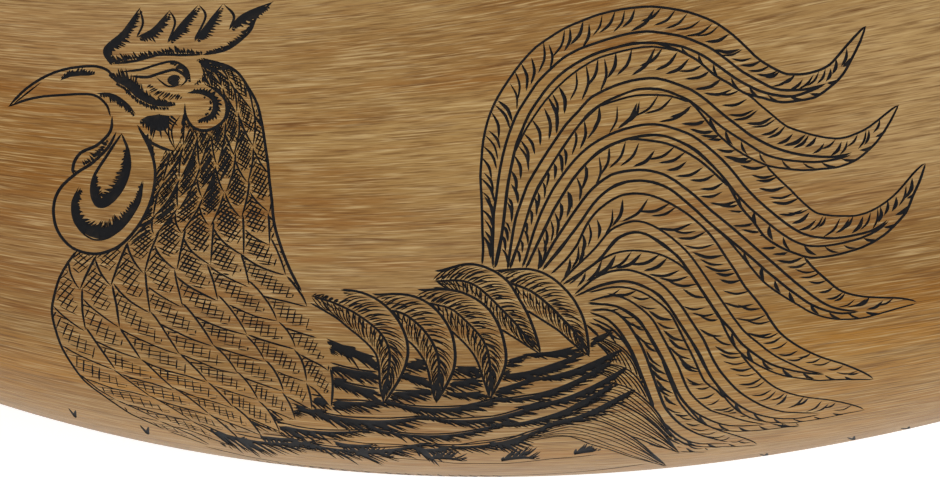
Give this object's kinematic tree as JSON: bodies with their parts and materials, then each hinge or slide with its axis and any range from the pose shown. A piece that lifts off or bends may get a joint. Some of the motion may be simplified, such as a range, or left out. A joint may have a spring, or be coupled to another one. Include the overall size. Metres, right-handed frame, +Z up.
{
  "type": "powder horn",
  "caption": "Curved hollow cow horn with an engraved rooster, closed by a domed wooden plug with a strap button and a turned stopper in its spout, lying on its side.",
  "frame": {"origin": "middle of the object's footprint, on the surface that it lies on", "axes": "+Z up; +X towards the wide mouth, +Y towards the inside of the horn's bend and along the spout, outward"},
  "size_m": [0.2336, 0.1964, 0.0802],
  "materials": {
    "horn": "polished natural horn, tan with fine lengthwise brown streaks, darker at the spout",
    "ink": "black ink rubbed into engraved lines",
    "plug_wood": "turned walnut, oiled",
    "stopper_wood": "turned hardwood, oiled",
    "brass": "aged brass"
  },
  "bodies": {
    "root": {"horn": "horn", "butt_plug": "plug_wood", "stopper": "stopper_wood", "tack_1": "brass", "tack_2": "brass", "tack_3": "brass", "tack_4": "brass", "tack_5": "brass", "tack_6": "brass"}
  },
  "joints": []
}
